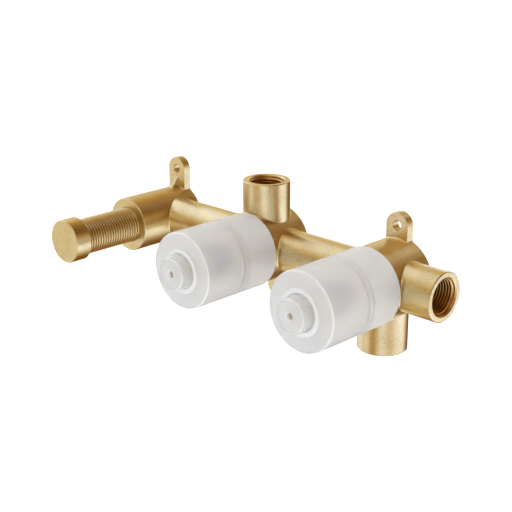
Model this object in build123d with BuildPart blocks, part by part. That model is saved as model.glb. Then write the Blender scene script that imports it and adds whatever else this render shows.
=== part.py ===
"""Concealed shower valve body: a cast brass manifold with a spout outlet, a diverter and a mixer in a row.

Millimetres. X runs along the row, towards the mixer. Y runs into the wall and Z is up. The origin is the
centre of the diverter's back face, on the wall plane. A depth is a distance in front of the wall, along -Y.
"""

import os
from math import cos, radians, sin

from build123d import *

# Layout of the casting
AXIS_SPACING = 90.0
WATERWAY_DEPTH = 14.1
BARREL_OD = 42.9
SPOUT_BARREL_OD = 33.7
SPOUT_BARREL_LENGTH = 47.2
LINK_OD = 25.9
PORT_OD = 28.0
PORT_REACH = 40.0
CAST_FILLET = 0.8
FRONT_CHAMFER = 1.2
EDGE_CHAMFER = 0.4
WALL_STOCK = 4.0

# Fixing lugs, one under the diverter and one over each end barrel
LUG_WIDTH = 14.5
LUG_THICKNESS = 5.0
LUG_HOLE_OFFSET = 29.0
LUG_HOLE_D = 5.8
LUG_FILLET = 1.5
GUSSET_THICKNESS = 2.2
GUSSET_RISE = 6.4
GUSSET_RUN = 5.5
GUSSET_ROOT = 2.0

# Waterways and the female threads of the three ports
WATERWAY_D = 14.0
PORT_THREAD_D = 20.955
PORT_THREAD_DEPTH = 15.0
PORT_MOUTH_CHAMFER = 0.7
PARTITION = 0.5
RISER_D = 6.4
RISER_RIM = 0.7

# Cartridge chamber of each valve barrel
CHAMBER_FLOOR = 27.0
CHAMBER_WALL = 3.95
MOUTH_WALL = 2.45
MOUTH_DEPTH = 5.0

# Cartridge pieces, stacked from the chamber floor towards the front
SEAL_THICKNESS = 1.5
BASE_THICKNESS = 2.0
BASE_SPIGOT = 1.0
PEG_D = 3.0
PEG_LENGTH = 3.0
DISC_THICKNESS = 3.5
DISC_POCKET_DEPTH = 2.2
DISC_POCKET_ARC = 230.0
DISC_POCKET_START = {"diverter": 155.0, "mixer": 20.0}
DRIVER_THICKNESS = 4.3
KEY_WIDTH = 4.0
KEY_HEIGHT = 0.8
HOUSING_WALL = 3.6
ROOF_THICKNESS = 3.3
FLANGE_THICKNESS = 1.5
NECK_D = 18.0
NECK_LENGTH = 15.0
STEM_D = 10.0
TANG_WIDTH = 5.0
TANG_LENGTH = 18.0
STUB_D = 8.0
STUB_FLATS = 6.4
STUB_LENGTH = 10.0
STEM_O_RING_SECTION = 1.8
BODY_O_RING_SECTION = 2.2
CIRCLIP_THICKNESS = 1.0
CIRCLIP_WIDTH = 2.4
CIRCLIP_GROOVE_DEPTH = 0.8
CIRCLIP_OPENING = 70.0

# Retaining nut
NUT_CORNER_INSET = 0.7
NUT_HEX_LENGTH = 7.0
NUT_SKIRT_WALL = 4.5
NUT_CHAMFER = 1.2

# Splined spindle extension and the screw that holds it
EXTENSION_D = 13.0
EXTENSION_LENGTH = 22.1
SPLINE_LENGTH = 9.0
SPLINE_TEETH = 20
SPLINE_DEPTH = 0.6
SCREW_D = 4.0
SCREW_HEAD_D = 7.0
SCREW_HEAD_LENGTH = 2.4
SCREW_SOCKET = 3.0
SCREW_SOCKET_DEPTH = 1.6
SCREW_RECESS = 4.0
SCREW_GRIP = 6.0

# Plaster guard, a push-on plastic cup with a nose over the spindle
GUARD_WALL = 0.77
GUARD_END_WALL = 1.3
GUARD_STAND_OFF = 0.2
GUARD_EDGE_RADIUS = 0.9
GUARD_END_GAP = 4.1
RING_OD = 26.0
RING_WIDTH = 2.5
RING_HEIGHT = 0.6
RING_EDGE_RADIUS = 0.25
NOSE_NECK_D = 20.0
NOSE_TIP_D = 19.0
NOSE_LENGTH = 8.1
NOSE_TIP_LENGTH = 2.4
NOSE_EDGE_RADIUS = 1.0
NOSE_WALL = 1.6
NOSE_HOLE_D = 4.6

# Spout nipple and its blanking cap
NIPPLE_D = 22.0
NIPPLE_EXPOSED = 39.2
NIPPLE_GRIP = 14.0
NIPPLE_CHAMFER = 0.8
NIPPLE_PITCH = 1.91
NIPPLE_RIDGE = 1.1
OUTLET_CHAMFER = 0.25
CAP_WALL = 2.15
CAP_LENGTH = 10.4
CAP_END_WALL = 2.0
CAP_WASHER_THICKNESS = 1.2

# Clearances on the radius, or between faces
THREAD_FIT = 0.05
RUNNING_FIT = 0.05
SLIDING_FIT = 0.1
LOOSE_FIT = 0.4

# Sides of a hexagon, and how near two lengths must be to count as the same
HEX_SIDES = 6
SAME = 1e-4

# Places worked out from the sizes above
SPOUT_X = -AXIS_SPACING
VALVES = {"diverter": 0.0, "mixer": AXIS_SPACING}
WATERWAYS = {"diverter": (0, 90, 180), "mixer": (180, 270, 360)}
PEG_ANGLES = {"diverter": (225, 315), "mixer": (45, 135)}
PORTS = [("diverter", 90), ("mixer", 0), ("mixer", 270)]
LUGS = [(SPOUT_X, 1), (VALVES["mixer"], 1), (VALVES["diverter"], -1)]
BARREL_R = BARREL_OD / 2
SPOUT_BARREL_R = SPOUT_BARREL_OD / 2
WATERWAY_R = WATERWAY_D / 2
DRILL_STOP = WATERWAY_R + PARTITION

CHAMBER_R = BARREL_R - CHAMBER_WALL
MOUTH_R = BARREL_R - MOUTH_WALL
HOUSING_R = CHAMBER_R - SLIDING_FIT
CAVITY_R = HOUSING_R - HOUSING_WALL
DISC_R = CAVITY_R - LOOSE_FIT
RISER_RADIUS = DISC_R - RISER_RIM - RISER_D / 2
BASE_REAR = CHAMBER_FLOOR + SEAL_THICKNESS
HOUSING_REAR = BASE_REAR + BASE_THICKNESS
FIXED_DISC_REAR = HOUSING_REAR + BASE_SPIGOT
MOVING_DISC_REAR = FIXED_DISC_REAR + DISC_THICKNESS
DRIVER_REAR = MOVING_DISC_REAR + DISC_THICKNESS
DRIVER_FRONT = DRIVER_REAR + DRIVER_THICKNESS
ROOF_REAR = DRIVER_FRONT + LOOSE_FIT
FLANGE_FRONT = ROOF_REAR + ROOF_THICKNESS
SEAT = FLANGE_FRONT - FLANGE_THICKNESS
BARREL_LENGTH = SEAT + MOUTH_DEPTH
FLANGE_R = MOUTH_R - LOOSE_FIT
NECK_R = NECK_D / 2
NECK_FRONT = FLANGE_FRONT + NECK_LENGTH
STEM_R = STEM_D / 2
STEM_BORE_R = STEM_R + RUNNING_FIT
TANG_REAR = DRIVER_FRONT - DRIVER_THICKNESS / 2
STEM_O_RING_DEPTH = FLANGE_FRONT + NECK_LENGTH / 2
BODY_O_RING_DEPTH = (HOUSING_REAR + SEAT) / 2
CIRCLIP_REAR = NECK_FRONT + LOOSE_FIT
CIRCLIP_BORE_R = STEM_R - CIRCLIP_GROOVE_DEPTH
STEM_FRONT = CIRCLIP_REAR + 2 * CIRCLIP_THICKNESS
STUB_FRONT = STEM_FRONT + STUB_LENGTH
EXTENSION_R = EXTENSION_D / 2
EXTENSION_FRONT = STEM_FRONT + EXTENSION_LENGTH
SCREW_SEAT = EXTENSION_FRONT - SCREW_RECESS
NUT_FRONT = BARREL_LENGTH + NUT_HEX_LENGTH
NUT_CORNER_R = BARREL_R - NUT_CORNER_INSET

GUARD_BORE_R = BARREL_R + SLIDING_FIT
GUARD_R = GUARD_BORE_R + GUARD_WALL
GUARD_REAR = WATERWAY_DEPTH + PORT_OD / 2 + CAST_FILLET + GUARD_STAND_OFF
NOSE_FRONT = EXTENSION_FRONT + GUARD_END_GAP + GUARD_END_WALL
GUARD_FRONT = NOSE_FRONT - NOSE_LENGTH
RING_FRONT = GUARD_FRONT + RING_HEIGHT
RING_R = RING_OD / 2
NOSE_NECK_R = NOSE_NECK_D / 2
NOSE_TIP_R = NOSE_TIP_D / 2
NOSE_BORE_R = NOSE_NECK_R - NOSE_WALL
NOSE_STEP = NOSE_FRONT - NOSE_TIP_LENGTH

NIPPLE_R = NIPPLE_D / 2
NIPPLE_REAR = SPOUT_BARREL_LENGTH - NIPPLE_GRIP
TAPPED_R = NIPPLE_R + THREAD_FIT
CAP_R = TAPPED_R + CAP_WALL
CAP_REAR = SPOUT_BARREL_LENGTH + NIPPLE_EXPOSED
CAP_FRONT = CAP_REAR + CAP_LENGTH
WASHER_FRONT = CAP_FRONT - CAP_END_WALL
NIPPLE_FRONT = WASHER_FRONT - CAP_WASHER_THICKNESS
THREAD_LENGTH = NIPPLE_FRONT - NIPPLE_CHAMFER - SPOUT_BARREL_LENGTH
RIDGES = int(THREAD_LENGTH / NIPPLE_PITCH)


def face_at(depth, x=0.0):
    """Plane across a valve axis, a depth in front of the wall, that looks out of the wall."""
    return Plane(origin=(x, -depth, 0), x_dir=(1, 0, 0), z_dir=(0, -1, 0))


def around(radius, angles):
    """Places on a circle about a valve axis, at angles from +X towards +Z."""
    return Locations(*[(radius * cos(radians(a)), radius * sin(radians(a))) for a in angles])


def section_at(x, start=0.0):
    """Plane through the axis at x, turned by a start angle, with its own Y along the frame's Y."""
    out = (cos(radians(start)), 0, sin(radians(start)))
    return Plane(origin=(x, 0, 0), x_dir=out, z_dir=(-out[2], 0, out[0]))


def turn(x, outline, mode=Mode.ADD, arc=360.0, start=0.0):
    """Revolve an outline of (radius, depth) points about the axis at x."""
    with BuildSketch(section_at(x, start)) as half:
        with BuildLine():
            Polyline(*[(radius, -depth) for radius, depth in outline], close=True)
        make_face()
    revolve(half.sketch, axis=Axis((x, 0, 0), (0, -1, 0)), revolution_arc=arc, mode=mode)


def hollow_turn(x, bore, radius, rear, front, mode=Mode.ADD, arc=360.0, start=0.0):
    """Revolve a plain ring between two radii and two depths about the axis at x."""
    turn(x, [(bore, rear), (radius, rear), (radius, front), (bore, front)], mode, arc, start)


def o_ring(x, outer_radius, section, depth):
    """Revolve a round rubber section that reaches out to a radius, centred on a depth."""
    with BuildSketch(section_at(x)) as cord:
        with Locations((outer_radius - section / 2, -depth)):
            Circle(section / 2)
    revolve(cord.sketch, axis=Axis((x, 0, 0), (0, -1, 0)))


def rim(part, radius, depth):
    """The circular edges of a turned piece that have this radius and lie at this depth."""
    circles = part.edges().filter_by(GeomType.CIRCLE)
    return [e for e in circles if abs(e.radius - radius) < SAME and abs(e.arc_center.Y + depth) < SAME]


def waterway_plane(x, angle, reach):
    """Plane across a waterway of the valve at x, a reach away from its axis, that looks away from it."""
    out = (cos(radians(angle)), 0, sin(radians(angle)))
    origin = (x + reach * out[0], -WATERWAY_DEPTH, reach * out[2])
    return Plane(origin=origin, x_dir=(0, 1, 0), z_dir=out)


def save(piece, name):
    """Label a finished piece and write it to its own file."""
    piece.part.label = name
    export_step(piece.part, f"parts/{name}.step")


os.makedirs("parts", exist_ok=True)

# Valve body: one brass casting, filleted as cast, with its wall face, chambers and threads machined after
with BuildPart() as valve_body:
    with BuildSketch(face_at(-WALL_STOCK)):
        with Locations(*[(x, 0) for x in VALVES.values()]):
            Circle(BARREL_R)
    extrude(amount=WALL_STOCK + BARREL_LENGTH)
    with BuildSketch(face_at(-WALL_STOCK, SPOUT_X)):
        Circle(SPOUT_BARREL_R)
    extrude(amount=WALL_STOCK + SPOUT_BARREL_LENGTH)
    # The two link tubes are one straight run through the diverter barrel
    with BuildSketch(waterway_plane(SPOUT_X, 0, 0)):
        Circle(LINK_OD / 2)
    extrude(amount=2 * AXIS_SPACING)
    fillet(valve_body.edges(Select.NEW), radius=CAST_FILLET)
    for valve, angle in PORTS:
        with BuildSketch(waterway_plane(VALVES[valve], angle, 0)):
            Circle(PORT_OD / 2)
        extrude(amount=PORT_REACH)
        fillet(valve_body.edges(Select.NEW), radius=CAST_FILLET)
    for x, up in LUGS:
        with BuildSketch(face_at(-WALL_STOCK, x)):
            with Locations((0, up * LUG_HOLE_OFFSET / 2)):
                Rectangle(LUG_WIDTH, LUG_HOLE_OFFSET)
            with Locations((0, up * LUG_HOLE_OFFSET)):
                Circle(LUG_WIDTH / 2)
        extrude(amount=WALL_STOCK + LUG_THICKNESS)
        fillet(valve_body.edges(Select.NEW), radius=LUG_FILLET)
    # A thin gusset props the spout lug on top of its narrow barrel
    gusset_foot = (SPOUT_X, -LUG_THICKNESS, SPOUT_BARREL_R)
    with BuildSketch(Plane(origin=gusset_foot, x_dir=(0, -1, 0), z_dir=(-1, 0, 0))):
        with BuildLine():
            Polyline(
                (-GUSSET_ROOT, GUSSET_RISE),
                (0, GUSSET_RISE),
                (GUSSET_RUN, 0),
                (GUSSET_RUN, -GUSSET_ROOT),
                (-GUSSET_ROOT, -GUSSET_ROOT),
                close=True,
            )
        make_face()
    extrude(amount=GUSSET_THICKNESS / 2, both=True)
    split(bisect_by=face_at(0), keep=Keep.TOP)
    chamfer(rim(valve_body, BARREL_R, BARREL_LENGTH), length=FRONT_CHAMFER)
    chamfer(rim(valve_body, SPOUT_BARREL_R, SPOUT_BARREL_LENGTH), length=EDGE_CHAMFER)
    # Cartridge chambers, each with a stepped mouth, three risers in its floor and two locating holes
    for valve, x in VALVES.items():
        chamber = [(0, CHAMBER_FLOOR), (CHAMBER_R, CHAMBER_FLOOR), (CHAMBER_R, SEAT), (MOUTH_R, SEAT)]
        turn(x, chamber + [(MOUTH_R, BARREL_LENGTH), (0, BARREL_LENGTH)], Mode.SUBTRACT)
        with BuildSketch(face_at(WATERWAY_DEPTH, x)):
            with around(RISER_RADIUS, WATERWAYS[valve]):
                Circle(RISER_D / 2)
        extrude(amount=CHAMBER_FLOOR - WATERWAY_DEPTH, mode=Mode.SUBTRACT)
        with BuildSketch(face_at(CHAMBER_FLOOR - PEG_LENGTH - LOOSE_FIT, x)):
            with around(RISER_RADIUS, PEG_ANGLES[valve]):
                Circle(PEG_D / 2 + SLIDING_FIT)
        extrude(amount=PEG_LENGTH + LOOSE_FIT, mode=Mode.SUBTRACT)
    # Straight waterways: two through the links, and one with a threaded mouth in each port
    with BuildSketch(waterway_plane(VALVES["diverter"], 0, DRILL_STOP)):
        Circle(WATERWAY_R)
    extrude(amount=AXIS_SPACING - 2 * DRILL_STOP, mode=Mode.SUBTRACT)
    with BuildSketch(waterway_plane(VALVES["diverter"], 180, DRILL_STOP)):
        Circle(WATERWAY_R)
    extrude(amount=AXIS_SPACING - DRILL_STOP + WATERWAY_R, mode=Mode.SUBTRACT)
    for valve, angle in PORTS:
        with BuildSketch(waterway_plane(VALVES[valve], angle, DRILL_STOP)):
            Circle(WATERWAY_R)
        extrude(amount=PORT_REACH - DRILL_STOP, mode=Mode.SUBTRACT)
        with BuildSketch(waterway_plane(VALVES[valve], angle, PORT_REACH)):
            Circle(PORT_THREAD_D / 2)
        extrude(amount=-PORT_THREAD_DEPTH, mode=Mode.SUBTRACT)
        mouth = waterway_plane(VALVES[valve], angle, PORT_REACH).origin
        rings = valve_body.edges().filter_by(GeomType.CIRCLE)
        rings = [e for e in rings if (e.arc_center - mouth).length < SAME]
        chamfer([e for e in rings if e.radius < PORT_OD / 2 - SAME], length=PORT_MOUTH_CHAMFER)
        chamfer([e for e in rings if e.radius > PORT_OD / 2 - SAME], length=EDGE_CHAMFER)
    # Tapped spout outlet, which opens into the far end of the link's waterway
    outlet = [(0, WATERWAY_DEPTH - WATERWAY_R), (WATERWAY_R, WATERWAY_DEPTH - WATERWAY_R)]
    outlet += [(WATERWAY_R, NIPPLE_REAR - LOOSE_FIT), (TAPPED_R, NIPPLE_REAR - LOOSE_FIT)]
    outlet += [(TAPPED_R, SPOUT_BARREL_LENGTH), (0, SPOUT_BARREL_LENGTH)]
    turn(SPOUT_X, outlet, Mode.SUBTRACT)
    chamfer(rim(valve_body, TAPPED_R, SPOUT_BARREL_LENGTH), length=OUTLET_CHAMFER)
    for x, up in LUGS:
        with BuildSketch(face_at(0, x)):
            with Locations((0, up * LUG_HOLE_OFFSET)):
                Circle(LUG_HOLE_D / 2)
        extrude(amount=LUG_THICKNESS, mode=Mode.SUBTRACT)
save(valve_body, "valve_body")

# Spout nipple: a male threaded tube that stands out of the wall, with a ring for each ridge of its thread
with BuildPart() as spout_nipple:
    tube = [(WATERWAY_R, NIPPLE_REAR), (NIPPLE_R, NIPPLE_REAR), (NIPPLE_R, SPOUT_BARREL_LENGTH)]
    for ridge in range(RIDGES):
        crest = SPOUT_BARREL_LENGTH + (ridge + 1) * NIPPLE_PITCH
        tube += [(NIPPLE_R - NIPPLE_RIDGE, crest - NIPPLE_PITCH / 2), (NIPPLE_R, crest)]
    turn(SPOUT_X, tube + [(NIPPLE_R, NIPPLE_FRONT), (WATERWAY_R, NIPPLE_FRONT)])
    ends = rim(spout_nipple, NIPPLE_R, NIPPLE_REAR) + rim(spout_nipple, NIPPLE_R, NIPPLE_FRONT)
    chamfer(ends, length=NIPPLE_CHAMFER)
save(spout_nipple, "spout_nipple")

# Blanking cap: a smooth round cap, tapped inside, that shuts the nipple for the pressure test
with BuildPart() as blanking_cap:
    hollow_turn(SPOUT_X, 0, CAP_R, CAP_REAR, CAP_FRONT)
    chamfer(rim(blanking_cap, CAP_R, CAP_REAR) + rim(blanking_cap, CAP_R, CAP_FRONT), length=EDGE_CHAMFER)
    hollow_turn(SPOUT_X, 0, TAPPED_R, CAP_REAR, WASHER_FRONT, Mode.SUBTRACT)
save(blanking_cap, "blanking_cap")

# Cap washer: a flat ring between the nipple's end and the floor of the cap
with BuildPart() as cap_washer:
    hollow_turn(SPOUT_X, WATERWAY_R, NIPPLE_R - SLIDING_FIT, NIPPLE_FRONT, WASHER_FRONT)
save(cap_washer, "cap_washer")

for valve, x in VALVES.items():
    # Base seal: a rubber plate that seals the three risers to the cartridge
    with BuildPart() as base_seal:
        with BuildSketch(face_at(CHAMBER_FLOOR, x)):
            Circle(HOUSING_R - LOOSE_FIT)
            with around(RISER_RADIUS, WATERWAYS[valve]):
                Circle(RISER_D / 2, mode=Mode.SUBTRACT)
            with around(RISER_RADIUS, PEG_ANGLES[valve]):
                Circle(PEG_D / 2 + SLIDING_FIT, mode=Mode.SUBTRACT)
        extrude(amount=SEAL_THICKNESS)
    save(base_seal, f"{valve}_base_seal")

    # Cartridge base: the plate that closes the housing, with pegs that stop it turning
    with BuildPart() as cartridge_base:
        with BuildSketch(face_at(BASE_REAR, x)):
            Circle(HOUSING_R)
        extrude(amount=BASE_THICKNESS)
        with BuildSketch(face_at(HOUSING_REAR, x)):
            Circle(CAVITY_R - SLIDING_FIT)
        extrude(amount=BASE_SPIGOT)
        with BuildSketch(face_at(BASE_REAR, x)):
            with around(RISER_RADIUS, WATERWAYS[valve]):
                Circle(RISER_D / 2)
        extrude(amount=BASE_THICKNESS + BASE_SPIGOT, mode=Mode.SUBTRACT)
        with BuildSketch(face_at(BASE_REAR, x)):
            with around(RISER_RADIUS, PEG_ANGLES[valve]):
                Circle(PEG_D / 2)
        extrude(amount=-PEG_LENGTH - SEAL_THICKNESS)
    save(cartridge_base, f"{valve}_cartridge_base")

    # Fixed disc: polished ceramic with one hole for each waterway
    with BuildPart() as fixed_disc:
        with BuildSketch(face_at(FIXED_DISC_REAR, x)):
            Circle(DISC_R)
            with around(RISER_RADIUS, WATERWAYS[valve]):
                Circle(RISER_D / 2, mode=Mode.SUBTRACT)
        extrude(amount=DISC_THICKNESS)
    save(fixed_disc, f"{valve}_fixed_disc")

    # Moving disc: a blind curved pocket that joins the holes it turns over, and a key slot in its front
    with BuildPart() as moving_disc:
        with BuildSketch(face_at(MOVING_DISC_REAR, x)):
            Circle(DISC_R)
        extrude(amount=DISC_THICKNESS)
        hollow_turn(
            x,
            RISER_RADIUS - RISER_D / 2,
            RISER_RADIUS + RISER_D / 2,
            MOVING_DISC_REAR,
            MOVING_DISC_REAR + DISC_POCKET_DEPTH,
            Mode.SUBTRACT,
            DISC_POCKET_ARC,
            DISC_POCKET_START[valve],
        )
        with BuildSketch(face_at(DRIVER_REAR, x)):
            Rectangle(2 * DISC_R, KEY_WIDTH + 2 * SLIDING_FIT)
        extrude(amount=-KEY_HEIGHT - SLIDING_FIT, mode=Mode.SUBTRACT)
    save(moving_disc, f"{valve}_moving_disc")

    # Disc driver: a moulded carrier, keyed into the disc behind it and slotted for the spindle's tang
    with BuildPart() as disc_driver:
        with BuildSketch(face_at(DRIVER_REAR, x)):
            Circle(DISC_R)
        extrude(amount=DRIVER_THICKNESS)
        with BuildSketch(face_at(DRIVER_REAR, x)):
            Rectangle(2 * DISC_R, KEY_WIDTH)
            Circle(DISC_R, mode=Mode.INTERSECT)
        extrude(amount=-KEY_HEIGHT)
        with BuildSketch(face_at(TANG_REAR, x)):
            Rectangle(TANG_LENGTH + 2 * SLIDING_FIT, TANG_WIDTH + 2 * SLIDING_FIT)
        extrude(amount=DRIVER_FRONT - TANG_REAR, mode=Mode.SUBTRACT)
    save(disc_driver, f"{valve}_disc_driver")

    # Spindle: turned brass, with a flat tang behind, two grooves and a flatted stub in front
    with BuildPart() as spindle:
        with BuildSketch(face_at(TANG_REAR, x)):
            Rectangle(TANG_LENGTH, TANG_WIDTH)
        extrude(amount=DRIVER_FRONT - TANG_REAR)
        hollow_turn(x, 0, STEM_R, DRIVER_FRONT, STEM_FRONT)
        with BuildSketch(face_at(STEM_FRONT, x)):
            Circle(STUB_D / 2)
            Rectangle(STUB_D, STUB_FLATS, mode=Mode.INTERSECT)
        extrude(amount=STUB_LENGTH)
        hollow_turn(
            x,
            STEM_R - STEM_O_RING_SECTION,
            STEM_BORE_R,
            STEM_O_RING_DEPTH - STEM_O_RING_SECTION / 2 - SLIDING_FIT,
            STEM_O_RING_DEPTH + STEM_O_RING_SECTION / 2 + SLIDING_FIT,
            Mode.SUBTRACT,
        )
        hollow_turn(
            x,
            CIRCLIP_BORE_R - RUNNING_FIT,
            STEM_BORE_R,
            CIRCLIP_REAR,
            CIRCLIP_REAR + CIRCLIP_THICKNESS,
            Mode.SUBTRACT,
        )
        hollow_turn(
            x,
            0,
            SCREW_D / 2 + THREAD_FIT,
            STUB_FRONT - SCREW_GRIP - LOOSE_FIT,
            STUB_FRONT,
            Mode.SUBTRACT,
        )
    save(spindle, f"{valve}_spindle")

    # Stem O-ring: seals the spindle in the neck of the housing
    with BuildPart() as stem_o_ring:
        o_ring(x, STEM_R, STEM_O_RING_SECTION, STEM_O_RING_DEPTH)
    save(stem_o_ring, f"{valve}_stem_o_ring")

    # Cartridge housing: a moulded cup with a flange on the barrel's seat and a neck round the spindle
    with BuildPart() as cartridge_housing:
        cup = [(CAVITY_R, HOUSING_REAR), (HOUSING_R, HOUSING_REAR), (HOUSING_R, SEAT), (FLANGE_R, SEAT)]
        cup += [(FLANGE_R, FLANGE_FRONT), (NECK_R, FLANGE_FRONT), (NECK_R, NECK_FRONT)]
        cup += [(STEM_BORE_R, NECK_FRONT), (STEM_BORE_R, ROOF_REAR), (CAVITY_R, ROOF_REAR)]
        turn(x, cup)
        hollow_turn(
            x,
            HOUSING_R - BODY_O_RING_SECTION,
            CHAMBER_R,
            BODY_O_RING_DEPTH - BODY_O_RING_SECTION / 2 - SLIDING_FIT,
            BODY_O_RING_DEPTH + BODY_O_RING_SECTION / 2 + SLIDING_FIT,
            Mode.SUBTRACT,
        )
        chamfer(rim(cartridge_housing, NECK_R, NECK_FRONT), length=EDGE_CHAMFER)
    save(cartridge_housing, f"{valve}_cartridge_housing")

    # Body O-ring: seals the housing in its chamber
    with BuildPart() as body_o_ring:
        o_ring(x, HOUSING_R, BODY_O_RING_SECTION, BODY_O_RING_DEPTH)
    save(body_o_ring, f"{valve}_body_o_ring")

    # Retaining nut: brass, a threaded skirt that bears on the flange and a hexagon outside the barrel
    with BuildPart() as retaining_nut:
        with BuildSketch(face_at(BARREL_LENGTH, x)):
            RegularPolygon(NUT_CORNER_R, HEX_SIDES)
        extrude(amount=NUT_HEX_LENGTH)
        blank = [(0, BARREL_LENGTH), (NUT_CORNER_R, BARREL_LENGTH), (NUT_CORNER_R, NUT_FRONT - NUT_CHAMFER)]
        blank += [(NUT_CORNER_R - 2 * NUT_CHAMFER, NUT_FRONT), (0, NUT_FRONT)]
        turn(x, blank, Mode.INTERSECT)
        hollow_turn(x, 0, MOUTH_R - THREAD_FIT, FLANGE_FRONT, BARREL_LENGTH)
        skirt_bore = MOUTH_R - THREAD_FIT - NUT_SKIRT_WALL
        hollow_turn(x, 0, skirt_bore, FLANGE_FRONT, BARREL_LENGTH, Mode.SUBTRACT)
        hollow_turn(x, 0, NECK_R + LOOSE_FIT, BARREL_LENGTH, NUT_FRONT, Mode.SUBTRACT)
    save(retaining_nut, f"{valve}_retaining_nut")

    # Circlip: a flat spring ring in the spindle's front groove, open on one side
    with BuildPart() as circlip:
        hollow_turn(
            x,
            CIRCLIP_BORE_R,
            CIRCLIP_BORE_R + CIRCLIP_WIDTH,
            CIRCLIP_REAR,
            CIRCLIP_REAR + CIRCLIP_THICKNESS,
            arc=360 - CIRCLIP_OPENING,
            start=CIRCLIP_OPENING / 2,
        )
    save(circlip, f"{valve}_circlip")

    # Spindle extension: a splined brass sleeve on the spindle's stub, ready for a handle
    with BuildPart() as spindle_extension:
        hollow_turn(x, 0, EXTENSION_R, STEM_FRONT, EXTENSION_FRONT)
        chamfer(rim(spindle_extension, EXTENSION_R, EXTENSION_FRONT), length=SPLINE_DEPTH)
        with BuildSketch(face_at(EXTENSION_FRONT, x)):
            with PolarLocations(EXTENSION_R, SPLINE_TEETH):
                Rectangle(2 * SPLINE_DEPTH, 2 * SPLINE_DEPTH, rotation=45)
        extrude(amount=-SPLINE_LENGTH, mode=Mode.SUBTRACT)
        with BuildSketch(face_at(STEM_FRONT, x)):
            Circle(STUB_D / 2 + RUNNING_FIT)
            Rectangle(STUB_D + 2 * RUNNING_FIT, STUB_FLATS + 2 * RUNNING_FIT, mode=Mode.INTERSECT)
        extrude(amount=STUB_LENGTH + RUNNING_FIT, mode=Mode.SUBTRACT)
        hollow_turn(x, 0, SCREW_D / 2 + SLIDING_FIT, STUB_FRONT, SCREW_SEAT, Mode.SUBTRACT)
        hollow_turn(x, 0, SCREW_HEAD_D / 2 + SLIDING_FIT, SCREW_SEAT, EXTENSION_FRONT, Mode.SUBTRACT)
    save(spindle_extension, f"{valve}_spindle_extension")

    # Extension screw: a socket head screw down the middle of the extension, into the spindle
    with BuildPart() as extension_screw:
        hollow_turn(x, 0, SCREW_D / 2, STUB_FRONT - SCREW_GRIP, SCREW_SEAT)
        hollow_turn(x, 0, SCREW_HEAD_D / 2, SCREW_SEAT, SCREW_SEAT + SCREW_HEAD_LENGTH)
        with BuildSketch(face_at(SCREW_SEAT + SCREW_HEAD_LENGTH, x)):
            RegularPolygon(SCREW_SOCKET / 2, HEX_SIDES, major_radius=False)
        extrude(amount=-SCREW_SOCKET_DEPTH, mode=Mode.SUBTRACT)
    save(extension_screw, f"{valve}_extension_screw")

    # Plaster guard: a thin cup pushed over the barrel, with a raised ring and a stepped, pierced nose
    with BuildPart() as plaster_guard:
        cup = [(GUARD_BORE_R, GUARD_REAR), (GUARD_R, GUARD_REAR), (GUARD_R, GUARD_FRONT)]
        cup += [(RING_R, GUARD_FRONT), (RING_R, RING_FRONT), (RING_R - RING_WIDTH, RING_FRONT)]
        cup += [(RING_R - RING_WIDTH, GUARD_FRONT), (NOSE_NECK_R, GUARD_FRONT), (NOSE_NECK_R, NOSE_STEP)]
        cup += [(NOSE_TIP_R, NOSE_STEP), (NOSE_TIP_R, NOSE_FRONT), (NOSE_HOLE_D / 2, NOSE_FRONT)]
        cup += [(NOSE_HOLE_D / 2, NOSE_FRONT - GUARD_END_WALL), (NOSE_BORE_R, NOSE_FRONT - GUARD_END_WALL)]
        cup += [(NOSE_BORE_R, GUARD_FRONT - GUARD_END_WALL), (GUARD_BORE_R, GUARD_FRONT - GUARD_END_WALL)]
        turn(x, cup)
        fillet(rim(plaster_guard, GUARD_R, GUARD_FRONT), radius=GUARD_EDGE_RADIUS)
        fillet(rim(plaster_guard, NOSE_TIP_R, NOSE_FRONT), radius=NOSE_EDGE_RADIUS)
        small_edges = rim(plaster_guard, RING_R, RING_FRONT)
        small_edges += rim(plaster_guard, RING_R - RING_WIDTH, RING_FRONT)
        small_edges += rim(plaster_guard, NOSE_NECK_R, NOSE_STEP)
        fillet(small_edges, radius=RING_EDGE_RADIUS)
    save(plaster_guard, f"{valve}_plaster_guard")
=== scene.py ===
"""Looks of a concealed shower valve body: blasted cast brass, real screw threads and frosted plaster guards.

Metres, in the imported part's own frame: X along the row towards the mixer, Y into the wall and Z up.
A depth is a distance in front of the wall, along -Y.
"""

from math import cos, pi, radians, sin, tau

import bmesh
import bpy
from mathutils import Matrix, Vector


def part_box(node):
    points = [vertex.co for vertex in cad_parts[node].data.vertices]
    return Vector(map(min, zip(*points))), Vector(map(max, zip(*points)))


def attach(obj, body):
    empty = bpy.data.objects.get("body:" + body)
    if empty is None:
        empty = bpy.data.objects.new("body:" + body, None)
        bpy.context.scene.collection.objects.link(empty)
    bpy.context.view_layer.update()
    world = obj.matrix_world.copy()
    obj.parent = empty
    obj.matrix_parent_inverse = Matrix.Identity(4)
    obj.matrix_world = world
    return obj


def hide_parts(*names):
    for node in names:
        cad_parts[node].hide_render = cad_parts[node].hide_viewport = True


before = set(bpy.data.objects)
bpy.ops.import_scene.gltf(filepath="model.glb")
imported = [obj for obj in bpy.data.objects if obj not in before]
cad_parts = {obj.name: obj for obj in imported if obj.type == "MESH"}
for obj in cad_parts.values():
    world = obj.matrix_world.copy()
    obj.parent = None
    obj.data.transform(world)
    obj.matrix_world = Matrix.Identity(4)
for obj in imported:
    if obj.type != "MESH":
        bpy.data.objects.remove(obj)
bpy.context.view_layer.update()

# Valve body: one brass casting with three barrels, two link tubes, three ports and three wall lugs.
# It is bead blasted all over after machining, which leaves a fine, even, satin grain on every face.
MM = 0.001
BRASS_PALE = (0.86, 0.72, 0.43, 1)
BRASS_DEEP = (0.67, 0.525, 0.26, 1)
BRASS_GLOSS = 0.31
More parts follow.
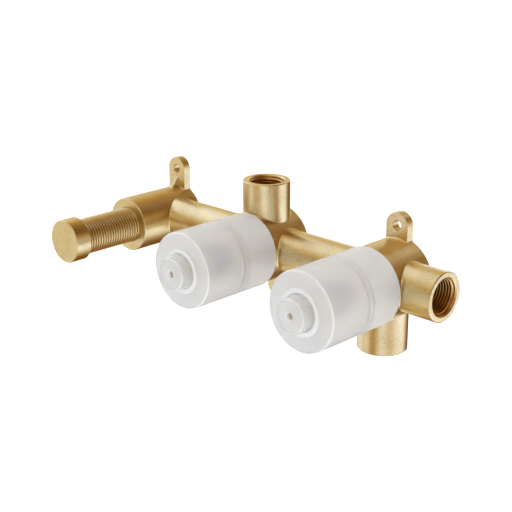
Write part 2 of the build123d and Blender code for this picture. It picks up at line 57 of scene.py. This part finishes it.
CAST_PIT = 0.8 * MM
CAST_PIT_DEPTH = 0.08 * MM
CAST_EDGE = 0.3 * MM
FINE_PITS = 2.6
FINE_SHARE = 0.25
PATCH_SCALE = 70.0
TONE_SPAN = (0.12, 0.42)
GLOSS_DRIFT = 0.03
EDGE_SAMPLES = 4


def add(tree, kind, inputs=None, **settings):
    """Add a node to a tree, with its settings and its inputs, each a plain value or a feeding socket."""
    node = tree.nodes.new(kind)
    for name, value in settings.items():
        setattr(node, name, value)
    for name, value in (inputs or {}).items():
        if isinstance(value, bpy.types.NodeSocket):
            tree.links.new(value, node.inputs[name])
        else:
            node.inputs[name].default_value = value
    return node


def combine(tree, operation, first, second=0.0):
    """The result of a math node on two values or sockets."""
    return add(tree, "ShaderNodeMath", {0: first, 1: second}, operation=operation).outputs[0]


def new_group(name, kind, inputs, outputs):
    """Start a node group, and return it with the sockets that its inputs give and its outputs take."""
    tree = bpy.data.node_groups.new(name, kind)
    for socket, value_type, value in inputs:
        item = tree.interface.new_socket(socket, in_out="INPUT", socket_type=value_type)
        if value is not None:
            item.default_value = value
    for socket, value_type in outputs:
        tree.interface.new_socket(socket, in_out="OUTPUT", socket_type=value_type)
    return tree, tree.nodes.new("NodeGroupInput").outputs, tree.nodes.new("NodeGroupOutput").inputs


def new_material(name, **plain):
    """Start a material with one Principled BSDF whose plain values are given by socket name."""
    material = bpy.data.materials.new(name)
    material.use_nodes = True
    shader = material.node_tree.nodes["Principled BSDF"]
    for socket, value in plain.items():
        shader.inputs[socket.replace("_", " ")].default_value = value
    return material, material.node_tree, shader


# Surface grain: pits of two sizes for the bump, and slow patches that shift the colour and the gloss a little
grain, grain_in, grain_out = new_group(
    "surface_grain",
    "ShaderNodeTree",
    [
        ("Pale", "NodeSocketColor", BRASS_PALE),
        ("Deep", "NodeSocketColor", BRASS_DEEP),
        ("Pit Size", "NodeSocketFloat", CAST_PIT),
        ("Gloss", "NodeSocketFloat", BRASS_GLOSS),
    ],
    [("Color", "NodeSocketColor"), ("Roughness", "NodeSocketFloat"), ("Height", "NodeSocketFloat")],
)
on_part = add(grain, "ShaderNodeTexCoord").outputs["Object"]
coarse_scale = combine(grain, "DIVIDE", 1.0, grain_in["Pit Size"])
fine_scale = combine(grain, "MULTIPLY", coarse_scale, FINE_PITS)
coarse, fine, patch = (
    add(grain, "ShaderNodeTexNoise", {"Vector": on_part, "Scale": scale, "Detail": detail}).outputs[0]
    for scale, detail in ((coarse_scale, 1.0), (fine_scale, 0.0), (PATCH_SCALE, 3.0))
)
pits = add(grain, "ShaderNodeMath", {0: fine, 1: FINE_SHARE, 2: coarse}, operation="MULTIPLY_ADD").outputs[0]
tone = add(
    grain,
    "ShaderNodeMapRange",
    {
        "Value": combine(grain, "MULTIPLY", patch, coarse),
        "From Min": TONE_SPAN[0],
        "From Max": TONE_SPAN[1],
    },
).outputs[0]
colour = add(
    grain,
    "ShaderNodeMix",
    {"Factor": tone, "A": grain_in["Pale"], "B": grain_in["Deep"]},
    data_type="RGBA",
).outputs["Result"]
drift = add(
    grain,
    "ShaderNodeMapRange",
    {"Value": patch, "To Min": -GLOSS_DRIFT, "To Max": GLOSS_DRIFT},
).outputs[0]
grain.links.new(colour, grain_out["Color"])
grain.links.new(combine(grain, "ADD", drift, grain_in["Gloss"]), grain_out["Roughness"])
grain.links.new(pits, grain_out["Height"])


def finish(name, pale, deep, pit_size, gloss, depth, edge=0.0, **plain):
    """A grained finish: two tones, the pits' size and depth, the gloss and how far the edges are broken."""
    material, tree, shader = new_material(name, **plain)
    group = add(
        tree,
        "ShaderNodeGroup",
        {"Pale": pale, "Deep": deep, "Pit Size": pit_size, "Gloss": gloss},
        node_tree=grain,
    ).outputs
    tree.links.new(group["Color"], shader.inputs["Base Color"])
    tree.links.new(group["Roughness"], shader.inputs["Roughness"])
    bump = add(tree, "ShaderNodeBump", {"Height": group["Height"], "Distance": depth, "Strength": 1.0})
    if edge:
        broken = add(tree, "ShaderNodeBevel", {"Radius": edge}, samples=EDGE_SAMPLES)
        tree.links.new(broken.outputs["Normal"], bump.inputs["Normal"])
    tree.links.new(bump.outputs["Normal"], shader.inputs["Normal"])
    return material


def dress(material, *names):
    """Give CAD nodes a finish in place of the one they came with."""
    for name in names:
        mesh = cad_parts[name].data
        mesh.materials.clear()
        mesh.materials.append(material)


cast_brass = finish(
    "cast_brass",
    BRASS_PALE,
    BRASS_DEEP,
    pit_size=CAST_PIT,
    gloss=BRASS_GLOSS,
    depth=CAST_PIT_DEPTH,
    edge=CAST_EDGE,
    Metallic=1.0,
)
dress(cast_brass, "valve_body")

# Port threads: a G 1/2 female thread cut in each of the three open ports, right-hand, 14 turns to the inch.
# Each is a sleeve just inside the bored wall, whose crests run out at both ends as a tap leaves them.
# A port is given by the way it points and by its valve's place along the row.
AXIS_SPACING = 90 * MM
WATERWAY_DEPTH = 14.1 * MM
PORTS = [((0, 0, 1), 0.0), ((1, 0, 0), AXIS_SPACING), ((0, 0, -1), AXIS_SPACING)]
PORT_PITCH = 25.4 / 14 * MM
PORT_ROOT_R = 10.45 * MM
PORT_CREST_R = 9.35 * MM
PORT_THREAD = (25.3 * MM, 39.2 * MM)
PORT_AROUND, PORT_ALONG = 97, 110
FLANK = (0.03, 0.42)
WELD = 1e-6
# The port threads' brass is darker and redder than the body's: painted shade for the inside of the ports
TAPPED_SHADED_PALE = (0.7, 0.45, 0.17, 1)
TAPPED_SHADED_DEEP = (0.54, 0.31, 0.1, 1)
# Painted shade, multiplied into the tapped thread's colour towards the bottom of its groove
TAPPED_GROOVE_SHADE = (0.72, 0.44, 0.2, 1)
THREAD_PIT = 0.5 * MM
TAPPED_PIT_DEPTH = 0.004 * MM


def paint_groove_shade(material, shade):
    """Paint shade into a finish towards the bottom of a thread's groove, where light reaches only after
    bouncing.
    """
    tree = material.node_tree
    base = tree.nodes["Principled BSDF"].inputs["Base Color"]
    depth = add(tree, "ShaderNodeAttribute", attribute_name="groove").outputs["Fac"]
    shaded = add(
        tree,
        "ShaderNodeMix",
        {"Factor": depth, "A": base.links[0].from_socket, "B": shade},
        data_type="RGBA",
        blend_type="MULTIPLY",
    )
    tree.links.new(shaded.outputs["Result"], base)


shaded_tapped_brass = finish(
    "shaded_tapped_brass",
    TAPPED_SHADED_PALE,
    TAPPED_SHADED_DEEP,
    pit_size=THREAD_PIT,
    gloss=BRASS_GLOSS,
    depth=TAPPED_PIT_DEPTH,
    Metallic=1.0,
)
paint_groove_shade(shaded_tapped_brass, TAPPED_GROOVE_SHADE)


def unit_sheet(tree, around, along):
    """A flat sheet of points, with how far each point lies across it and along it, from 0 to 1."""
    sheet = add(
        tree,
        "GeometryNodeMeshGrid",
        {"Size X": 1.0, "Size Y": 1.0, "Vertices X": around, "Vertices Y": along},
    )
    cell = add(tree, "ShaderNodeSeparateXYZ", {0: add(tree, "GeometryNodeInputPosition").outputs[0]})
    across, ahead = (combine(tree, "ADD", cell.outputs[axis], 0.5) for axis in "XY")
    return sheet.outputs["Mesh"], across, ahead


def wind(tree, radius, turns, along):
    """The place that is a number of turns round Z, at a radius, and a length along it."""
    angle = combine(tree, "MULTIPLY", turns, tau)
    return add(
        tree,
        "ShaderNodeCombineXYZ",
        {
            "X": combine(tree, "MULTIPLY", radius, combine(tree, "COSINE", angle)),
            "Y": combine(tree, "MULTIPLY", radius, combine(tree, "SINE", angle)),
            "Z": along,
        },
    ).outputs[0]


def stand(tree, points, mesh, material):
    """Stand a copy of a mesh on each point, Z along the point's direction, as real faces of one finish."""
    way = add(tree, "GeometryNodeInputNamedAttribute", {"Name": "direction"}, data_type="FLOAT_VECTOR")
    facing = add(tree, "FunctionNodeAlignRotationToVector", {"Vector": way.outputs[0]}, axis="Z")
    copies = add(
        tree,
        "GeometryNodeInstanceOnPoints",
        {"Points": points, "Instance": mesh, "Rotation": facing.outputs[0]},
    )
    real = add(tree, "GeometryNodeRealizeInstances", {"Geometry": copies.outputs[0]})
    coated = add(tree, "GeometryNodeSetMaterial", {"Geometry": real.outputs[0], "Material": material})
    return coated.outputs[0]


def grow(tree, name, points, body):
    """Run a geometry tree on an object of loose points, and keep what it makes as a plain mesh on a body."""
    mesh = bpy.data.meshes.new(name)
    mesh.from_pydata([foot for foot, _ in points], [], [])
    turned_to = mesh.attributes.new("direction", "FLOAT_VECTOR", "POINT")
    for item, (_, direction) in zip(turned_to.data, points):
        item.vector = direction
    piece = bpy.data.objects.new(name, mesh)
    bpy.context.scene.collection.objects.link(piece)
    maker = piece.modifiers.new(name, "NODES")
    maker.node_group = tree
    grown = bpy.data.meshes.new_from_object(piece.evaluated_get(bpy.context.evaluated_depsgraph_get()))
    piece.modifiers.remove(maker)
    piece.data = grown
    grown.name = name
    bpy.data.meshes.remove(mesh)
    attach(piece, body)
    return piece


# Screw thread: a sheet wound round Z, whose radius swings between root and crest once in each pitch.
# It keeps each point's depth in the groove, for painted groove shade. A plain start is a length with no
# groove.
thread, thread_in, thread_out = new_group(
    "screw_thread",
    "GeometryNodeTree",
    [
        ("Root Radius", "NodeSocketFloat", PORT_ROOT_R),
        ("Crest Radius", "NodeSocketFloat", PORT_CREST_R),
        ("Pitch", "NodeSocketFloat", PORT_PITCH),
        ("Length", "NodeSocketFloat", PORT_THREAD[1] - PORT_THREAD[0]),
        ("Plain Start", "NodeSocketFloat", 0.0),
        ("Around", "NodeSocketInt", PORT_AROUND),
        ("Along", "NodeSocketInt", PORT_ALONG),
    ],
    [("Mesh", "NodeSocketGeometry")],
)
sheet, turns, ahead = unit_sheet(thread, thread_in["Around"], thread_in["Along"])
along = combine(thread, "MULTIPLY", ahead, thread_in["Length"])
pitches = combine(thread, "DIVIDE", along, thread_in["Pitch"])
swing = combine(thread, "PINGPONG", combine(thread, "SUBTRACT", pitches, turns), 0.5)
ridge = add(
    thread,
    "ShaderNodeMapRange",
    {"Value": swing, "From Min": FLANK[0], "From Max": FLANK[1]},
    interpolation_type="SMOOTHSTEP",
).outputs[0]
left = combine(thread, "SUBTRACT", thread_in["Length"], along)
run_out = combine(thread, "DIVIDE", combine(thread, "MINIMUM", along, left), thread_in["Pitch"])
full = combine(thread, "MINIMUM", run_out, 1.0)
ridge = combine(thread, "MULTIPLY", ridge, full)
groove = combine(thread, "SUBTRACT", full, ridge)
gripped = combine(thread, "LESS_THAN", along, thread_in["Plain Start"])
ridge = combine(thread, "MAXIMUM", ridge, gripped)
groove = combine(thread, "SUBTRACT", groove, gripped)
tooth = combine(thread, "SUBTRACT", thread_in["Crest Radius"], thread_in["Root Radius"])
radius = combine(thread, "ADD", thread_in["Root Radius"], combine(thread, "MULTIPLY", ridge, tooth))
marked = add(
    thread,
    "GeometryNodeStoreNamedAttribute",
    {"Geometry": sheet, "Name": "groove", "Value": combine(thread, "MAXIMUM", groove, 0.0)},
    data_type="FLOAT",
)
helix = add(
    thread,
    "GeometryNodeSetPosition",
    {"Geometry": marked.outputs[0], "Position": wind(thread, radius, turns, along)},
)
closed = add(thread, "GeometryNodeMergeByDistance", {"Geometry": helix.outputs[0], "Distance": WELD})
smooth = add(thread, "GeometryNodeSetShadeSmooth", {0: closed.outputs[0]})
thread.links.new(smooth.outputs[0], thread_out["Mesh"])

threads, threads_in, threads_out = new_group(
    "port_threads",
    "GeometryNodeTree",
    [("Ports", "NodeSocketGeometry", None)],
    [("Threads", "NodeSocketGeometry")],
)
tapped = add(
    threads,
    "GeometryNodeGroup",
    {
        "Root Radius": PORT_ROOT_R,
        "Crest Radius": PORT_CREST_R,
        "Pitch": PORT_PITCH,
        "Length": PORT_THREAD[1] - PORT_THREAD[0],
        "Around": PORT_AROUND,
        "Along": PORT_ALONG,
    },
    node_tree=thread,
)
inward = add(threads, "GeometryNodeFlipFaces", {"Mesh": tapped.outputs[0]})
stood = stand(threads, threads_in["Ports"], inward.outputs[0], shaded_tapped_brass)
threads.links.new(stood, threads_out["Threads"])
port_starts = [
    (Vector((axis_x, -WATERWAY_DEPTH, 0)) + PORT_THREAD[0] * Vector(out), out) for out, axis_x in PORTS
]
grow(threads, "port_threads", port_starts, "body")

# Spout nipple: a brass tube with a male thread along its open length, screwed into the left barrel.
# The thread is right-hand and fairly coarse, so its ridges still show at arm's length.
NIPPLE_X = -AXIS_SPACING
NIPPLE_SPAN = (33.2 * MM, 93.6 * MM)
NIPPLE_LENGTH = NIPPLE_SPAN[1] - NIPPLE_SPAN[0]
NIPPLE_CREST_R = 11.0 * MM
NIPPLE_ROOT_R = 9.9 * MM
NIPPLE_BORE_R = 7.0 * MM
NIPPLE_PITCH = 1.91 * MM
NIPPLE_GRIP = 14.0 * MM
NIPPLE_AROUND, NIPPLE_ALONG = 129, 400
# Painted shade, multiplied into the nipple thread's colour towards the bottom of its groove
NIPPLE_GROOVE_SHADE = (0.52, 0.36, 0.16, 1)
NIPPLE_PIT_DEPTH = 0.002 * MM
BORE_RINGS = 4
END_RINGS_PAST = 0.4

thread_brass = finish(
    "thread_brass",
    BRASS_PALE,
    BRASS_DEEP,
    pit_size=THREAD_PIT,
    gloss=BRASS_GLOSS,
    depth=NIPPLE_PIT_DEPTH,
    Metallic=1.0,
)
paint_groove_shade(thread_brass, NIPPLE_GROOVE_SHADE)
nipple, nipple_in, nipple_out = new_group(
    "threaded_nipple",
    "GeometryNodeTree",
    [("Place", "NodeSocketGeometry", None)],
    [("Nipple", "NodeSocketGeometry")],
)
outside = add(
    nipple,
    "GeometryNodeGroup",
    {
        "Root Radius": NIPPLE_ROOT_R,
        "Crest Radius": NIPPLE_CREST_R,
        "Pitch": NIPPLE_PITCH,
        "Length": NIPPLE_LENGTH,
        "Plain Start": NIPPLE_GRIP,
        "Around": NIPPLE_AROUND,
        "Along": NIPPLE_ALONG,
    },
    node_tree=thread,
)
# The bore and the two end faces are a second sheet of four rings, turned to face the other way.
# Its first ring meets the gripped length at the crest, and its last meets the thread's run-out at the root.
rings, turns, ahead = unit_sheet(nipple, NIPPLE_AROUND, BORE_RINGS)
from_middle = combine(nipple, "ABSOLUTE", combine(nipple, "SUBTRACT", ahead, 0.5))
at_end = combine(nipple, "GREATER_THAN", from_middle, END_RINGS_PAST)
in_front = combine(nipple, "GREATER_THAN", ahead, 0.5)
end_wall = combine(nipple, "MULTIPLY", in_front, NIPPLE_ROOT_R - NIPPLE_CREST_R)
end_wall = combine(nipple, "ADD", end_wall, NIPPLE_CREST_R - NIPPLE_BORE_R)
radius = combine(nipple, "ADD", combine(nipple, "MULTIPLY", at_end, end_wall), NIPPLE_BORE_R)
along = combine(nipple, "MULTIPLY", in_front, NIPPLE_LENGTH)
bore = add(
    nipple,
    "GeometryNodeSetPosition",
    {"Geometry": rings, "Position": wind(nipple, radius, turns, along)},
)
inward = add(nipple, "GeometryNodeFlipFaces", {"Mesh": bore.outputs[0]})
tube = add(nipple, "GeometryNodeJoinGeometry")
nipple.links.new(outside.outputs[0], tube.inputs[0])
nipple.links.new(inward.outputs[0], tube.inputs[0])
closed = add(nipple, "GeometryNodeMergeByDistance", {"Geometry": tube.outputs[0], "Distance": WELD})
stood = stand(nipple, nipple_in["Place"], closed.outputs[0], thread_brass)
nipple.links.new(stood, nipple_out["Nipple"])
nipple_foot = Vector((NIPPLE_X, -NIPPLE_SPAN[0], 0))
spout_nipple = grow(nipple, "threaded_nipple", [(nipple_foot, (0, -1, 0))], "body")
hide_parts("spout_nipple")

# Blanking cap and washer: a smooth brass cap over the nipple's end, with a flat rubber ring inside it.
# The cap keeps the outlet shut for the pressure test and comes off when the spout goes on.
TURNED_GLOSS = 0.28
TURNED_PIT = 0.6 * MM
TURNED_PIT_DEPTH = 0.02 * MM
TURNED_EDGE = 0.2 * MM
RUBBER_PALE = (0.024, 0.024, 0.026, 1)
RUBBER_DEEP = (0.012, 0.012, 0.013, 1)

turned_brass = finish(
    "turned_brass",
    BRASS_PALE,
    BRASS_DEEP,
    pit_size=TURNED_PIT,
    gloss=TURNED_GLOSS,
    depth=TURNED_PIT_DEPTH,
    edge=TURNED_EDGE,
    Metallic=1.0,
)
dress(turned_brass, "blanking_cap")
seal_rubber = finish(
    "seal_rubber", RUBBER_PALE, RUBBER_DEEP, pit_size=0.3 * MM, gloss=0.6, depth=0.006 * MM
)
dress(seal_rubber, "cap_washer")

# Cartridges: a moulded housing in each barrel with two ceramic discs, seals and a keyed driver.
# A brass nut holds it down. Only its neck and spindle show, and only once the guard is off.
VALVES = ("diverter", "mixer")
PLASTIC_PALE = (0.125, 0.125, 0.135, 1)
PLASTIC_DEEP = (0.095, 0.095, 0.105, 1)
CERAMIC_PALE = (0.88, 0.87, 0.84, 1)
CERAMIC_DEEP = (0.82, 0.8, 0.75, 1)
STEEL_PALE = (0.58, 0.58, 0.6, 1)
STEEL_DEEP = (0.47, 0.47, 0.49, 1)

cartridge_plastic = finish(
    "cartridge_plastic", PLASTIC_PALE, PLASTIC_DEEP, pit_size=0.4 * MM, gloss=0.48, depth=0.008 * MM
)
disc_ceramic = finish(
    "disc_ceramic", CERAMIC_PALE, CERAMIC_DEEP, pit_size=0.2 * MM, gloss=0.16, depth=0.001 * MM
)
spring_steel = finish(
    "spring_steel", STEEL_PALE, STEEL_DEEP, pit_size=0.3 * MM, gloss=0.3, depth=0.003 * MM, Metallic=1.0
)
for valve in VALVES:
    dress(seal_rubber, f"{valve}_base_seal", f"{valve}_stem_o_ring", f"{valve}_body_o_ring")
    dress(cartridge_plastic, f"{valve}_cartridge_base", f"{valve}_disc_driver", f"{valve}_cartridge_housing")
    dress(disc_ceramic, f"{valve}_fixed_disc", f"{valve}_moving_disc")
    dress(spring_steel, f"{valve}_circlip", f"{valve}_extension_screw")
    dress(turned_brass, f"{valve}_retaining_nut", f"{valve}_spindle", f"{valve}_spindle_extension")

# Plaster guards: thin moulded cups of frosted, translucent plastic pushed over the barrels.
# They keep plaster off the spindles, and the brass behind shows through as a soft shadow.
# Every rim is rounded, and a low ledge inside stops the cup in front of the barrel.
GUARD_PALE = (0.98, 0.98, 0.98, 1)
GUARD_DEEP = (0.95, 0.95, 0.955, 1)
GUARD_GLOSS = 0.335
GUARD_PIT = 0.5 * MM
GUARD_PIT_DEPTH = 0.004 * MM
GUARD_IOR = 1.3
GUARD_WALL = 0.77 * MM
GUARD_END_WALL = 1.3 * MM
GUARD_EDGE = 1.5 * MM
NOSE_LENGTH = 8.1 * MM
NOSE_TIP_LENGTH = 2.4 * MM
NOSE_NECK_R = 10.0 * MM
NOSE_TIP_R = 9.5 * MM
NOSE_BORE_R = 8.4 * MM
NOSE_HOLE_R = 2.3 * MM
NOSE_EDGE = 1.05 * MM
NOSE_END_WALL = 2.4 * MM
RING_R = 13.0 * MM
RING_WIDTH = 2.5 * MM
RING_HEIGHT = 0.6 * MM
NUT_HEAD = 7.0 * MM
LEDGE_GAP = 0.6 * MM
LEDGE_DEPTH = 0.4 * MM
LEDGE_EDGE = 0.06 * MM
# Two clearer strips on the outer wall are painted shade lines, where the brass behind the wall shows through
SHADE_LINE_WIDTH = 0.5 * MM
SHADE_LINE_SPACING = 4.0 * MM
FINE_EDGE = 0.18 * MM
STEP_EDGE = FINE_EDGE / 2
EDGE_STEPS = 6
# The step of every rounded edge that takes the whiter rim finish as a painted highlight
HIGHLIGHT_STEP = 2
GUARD_SIDES = 144
# The least clear finish is whiter: the cup's rear end, the nose hole's wall and the inner ledge get it, and
# one step of every rounded edge gets it as a painted highlight
GUARD_CLEARNESS = {"face": 0.6, "wall": 0.6, "skirt": 0.55, "band": 0.36, "rim_and_highlight": 0.22, "shade_line": 0.88}
FACE, WALL, SKIRT, BAND, RIM_AND_HIGHLIGHT, SHADE_LINE = range(len(GUARD_CLEARNESS))


def rounded(corners):
    """Round off right-angled (radius, depth, edge radius, flat) corners into (radius, depth, finish) points.

    A corner with no edge radius only marks where one finish ends and the next begins.
    A point's finish is that of the outline after it: the flat's own, or on one step of a rounded edge the
    whiter rim finish, a painted highlight.
    """
    outline = []
    for index, (radius, depth, edge, flat) in enumerate(corners):
        if not edge:
            outline.append((radius, depth, flat))
            continue
        corner = Vector((radius, depth))
        back = (Vector(corners[index - 1][:2]) - corner).normalized()
        ahead = (Vector(corners[(index + 1) % len(corners)][:2]) - corner).normalized()
        centre = corner + edge * (back + ahead)
        outline.append((*(corner + 2 * edge * back), corners[index - 1][3]))
        for step in range(EDGE_STEPS):
            angle = step / EDGE_STEPS * pi / 2
            # One step of every rounded edge takes the whiter rim finish: a painted highlight
            which = RIM_AND_HIGHLIGHT if step == HIGHLIGHT_STEP else flat
            outline.append((*(centre - edge * (cos(angle) * ahead + sin(angle) * back)), which))
        outline.append((*(corner + edge * ahead), flat))
        outline.append((*(corner + 2 * edge * ahead), flat))
    return outline


def turned(name, axis_x, outline, sides, finishes):
    """Turn a closed outline of (radius, depth, finish) points about an axis along Y."""
    verts, faces, chosen = [], [], []
    count = len(outline)
    for side in range(sides):
        angle = side / sides * tau
        near, far = side * count, (side + 1) % sides * count
        for index, (radius, depth, which) in enumerate(outline):
            following = (index + 1) % count
            verts.append((axis_x + radius * cos(angle), -depth, radius * sin(angle)))
            faces.append((near + index, far + index, far + following, near + following))
            chosen.append(which)
    mesh = bpy.data.meshes.new(name)
    mesh.from_pydata(verts, [], faces)
    for material in finishes:
        mesh.materials.append(material)
    mesh.polygons.foreach_set("material_index", chosen)
    shell = bmesh.new()
    shell.from_mesh(mesh)
    bmesh.ops.recalc_face_normals(shell, faces=shell.faces)
    shell.to_mesh(mesh)
    shell.free()
    mesh.shade_smooth()
    piece = bpy.data.objects.new(name, mesh)
    bpy.context.scene.collection.objects.link(piece)
    return piece


guard_finishes = [
    finish(
        f"guard_{part}",
        GUARD_PALE,
        GUARD_DEEP,
        pit_size=GUARD_PIT,
        gloss=GUARD_GLOSS,
        depth=GUARD_PIT_DEPTH,
        IOR=GUARD_IOR,
        Transmission_Weight=clearness,
    )
    for part, clearness in GUARD_CLEARNESS.items()
]
for valve in VALVES:
    low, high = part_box(f"{valve}_plaster_guard")
    axis_x = (low[0] + high[0]) / 2
    outer = (high[0] - low[0]) / 2
    inner = outer - GUARD_WALL
    rear, nose_front = -high[1], -low[1]
    nose_step = nose_front - NOSE_TIP_LENGTH
    nose_back = nose_front - NOSE_END_WALL
    front = nose_front - NOSE_LENGTH
    front_back = front - GUARD_END_WALL
    ring_front = front + RING_HEIGHT
    ring_bore = RING_R - RING_WIDTH
    nut_low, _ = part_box(f"{valve}_retaining_nut")
    ledge = -nut_low[1] - NUT_HEAD + LEDGE_GAP
    ledge_r = inner - LEDGE_DEPTH
    outline = rounded(
        [
            (inner, rear, FINE_EDGE, RIM_AND_HIGHLIGHT),
            (outer, rear, FINE_EDGE, SKIRT),
            # Painted shade lines: clearer strips on the outer wall at the ledge and in front of it
            (outer, ledge, 0, SHADE_LINE),
            (outer, ledge + SHADE_LINE_WIDTH, 0, WALL),
            (outer, ledge + SHADE_LINE_SPACING, 0, SHADE_LINE),
            (outer, ledge + SHADE_LINE_SPACING + SHADE_LINE_WIDTH, 0, WALL),
            (outer, front, GUARD_EDGE, FACE),
            (RING_R, front, STEP_EDGE, BAND),
            (RING_R, ring_front, STEP_EDGE, BAND),
            (ring_bore, ring_front, STEP_EDGE, BAND),
            (ring_bore, front, STEP_EDGE, FACE),
            (NOSE_NECK_R, front, STEP_EDGE, WALL),
            (NOSE_NECK_R, nose_step, STEP_EDGE, WALL),
            (NOSE_TIP_R, nose_step, STEP_EDGE, WALL),
            (NOSE_TIP_R, nose_front, NOSE_EDGE, WALL),
            (NOSE_HOLE_R, nose_front, FINE_EDGE, RIM_AND_HIGHLIGHT),
            (NOSE_HOLE_R, nose_back, FINE_EDGE, FACE),
            (NOSE_BORE_R, nose_back, FINE_EDGE, WALL),
            (NOSE_BORE_R, front_back, FINE_EDGE, FACE),
            (ledge_r, front_back, FINE_EDGE, WALL),
            (ledge_r, ledge, LEDGE_EDGE, RIM_AND_HIGHLIGHT),
            (inner, ledge, LEDGE_EDGE, SKIRT),
        ]
    )
    guard = turned(f"{valve}_guard_cup", axis_x, outline, GUARD_SIDES, guard_finishes)
    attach(guard, f"{valve}_guard")
    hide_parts(f"{valve}_plaster_guard")

# Studio: a white floor well below the part, soft lamps and the photograph's viewing angle.
# The background is plain white to the camera, and dimmer to everything else, so the brass keeps its depth.
# A softbox has an azimuth from the front towards +X, an elevation, a tightness and a level.
SOFTBOXES = {
    "left_high": (-92, 32, 2.9, 1.23),
    "right_behind_low": (145, -22, 24.0, 0.85),
    "left_behind": (-155, 4, 29.0, 1.2),
    "front_right": (33, -18, 6.4, 1.08),
    "behind_high": (178, 28, 30.0, 0.95),
    "left_low": (-86, -38, 6.8, 0.88),
    "right": (120, -1, 8.2, 0.9),
    "front_left": (-34, -21, 18.7, 0.79),
    "right_low": (100, -51, 7.5, 1.68),
    "front_high": (20, 48, 10.0, 1.0),
}
ROOM_GLOW = 0.02
ROOM_FILL = 0.56
FLOOR_BOUNCE = 0.95
# What metal sees is warmer where it is dim: each channel's share of the glow is base + gain * glow ** bend
METAL_TINT = {"X": (1.0, 0.0, 1.0), "Y": (0.41, 0.675, 1.75), "Z": (0.095, 1.24, 4.2)}
WHITE = (1, 1, 1, 1)
FLOOR_Z = -0.16
FLOOR_SIZE = 3.0
FLOOR_PAINT = (0.5, 0.5, 0.5, 1)
FLOOR_ROUGHNESS = 0.9
FLOOR_GLOW = 0.62
TARGET = Vector((0.01707, -0.0406, 0.0027))
AZIMUTH = radians(44.34)
ELEVATION = radians(18.80)
DISTANCE = 0.6541
LENS = 79.94

toward = Vector((cos(ELEVATION) * sin(AZIMUTH), -cos(ELEVATION) * cos(AZIMUTH), sin(ELEVATION)))
camera = bpy.data.objects.new("camera", bpy.data.cameras.new("camera"))
camera.data.lens = LENS
camera.location = TARGET + DISTANCE * toward
camera.rotation_euler = toward.to_track_quat("Z", "Y").to_euler()
bpy.context.scene.collection.objects.link(camera)
bpy.context.scene.camera = camera

world = bpy.data.worlds.new("studio")
bpy.context.scene.world = world
world.use_nodes = True
studio = world.node_tree
looking = add(studio, "ShaderNodeTexCoord").outputs["Generated"]
glow = ROOM_GLOW
for azimuth, elevation, tightness, level in SOFTBOXES.values():
    across, rise = radians(azimuth), radians(elevation)
    aim = (cos(rise) * sin(across), -cos(rise) * cos(across), sin(rise))
    match = add(studio, "ShaderNodeVectorMath", {0: looking, 1: aim}, operation="DOT_PRODUCT")
    off_aim = combine(studio, "SUBTRACT", match.outputs["Value"], 1.0)
    falloff = combine(studio, "MULTIPLY", off_aim, tightness)
    panel = combine(studio, "MULTIPLY", combine(studio, "EXPONENT", falloff), level)
    glow = combine(studio, "ADD", panel, glow)
tinted = {}
dim = combine(studio, "MINIMUM", glow, 1.0)
for channel, (base, gain, bend) in METAL_TINT.items():
    share = combine(studio, "MULTIPLY", combine(studio, "POWER", dim, bend), gain)
    tinted[channel] = combine(studio, "MULTIPLY", combine(studio, "ADD", share, base), glow)
on_metal = add(studio, "ShaderNodeCombineXYZ", tinted)
upward = add(studio, "ShaderNodeSeparateXYZ", {0: looking}).outputs["Z"]
bounce = combine(studio, "MULTIPLY", combine(studio, "MINIMUM", upward, 0.0), -FLOOR_BOUNCE)
fill = combine(studio, "ADD", combine(studio, "ADD", glow, ROOM_FILL), bounce)
on_plastic = add(studio, "ShaderNodeCombineXYZ", dict.fromkeys("XYZ", fill))
path = add(studio, "ShaderNodeLightPath").outputs
room = add(
    studio,
    "ShaderNodeMix",
    {"Factor": path["Is Glossy Ray"], "A": on_plastic.outputs[0], "B": on_metal.outputs[0]},
    data_type="RGBA",
)
seen = combine(studio, "MAXIMUM", path["Is Camera Ray"], path["Is Transmission Ray"])
view = add(
    studio,
    "ShaderNodeMix",
    {"Factor": seen, "A": room.outputs["Result"], "B": WHITE},
    data_type="RGBA",
)
studio.links.new(view.outputs["Result"], studio.nodes["Background"].inputs["Color"])

floor_paint, _, _ = new_material(
    "floor_paint",
    Base_Color=FLOOR_PAINT,
    Roughness=FLOOR_ROUGHNESS,
    Emission_Color=WHITE,
    Emission_Strength=FLOOR_GLOW,
)
half = FLOOR_SIZE / 2
floor_corners = [(x, y, FLOOR_Z) for x, y in ((-half, -half), (half, -half), (half, half), (-half, half))]
floor_mesh = bpy.data.meshes.new("floor")
floor_mesh.from_pydata(floor_corners, [], [(0, 1, 2, 3)])
floor_mesh.materials.append(floor_paint)
floor = bpy.data.objects.new("floor", floor_mesh)
floor.visible_diffuse = False
floor.visible_glossy = False
floor.visible_transmission = False
bpy.context.scene.collection.objects.link(floor)

bpy.context.scene.view_settings.view_transform = "Standard"
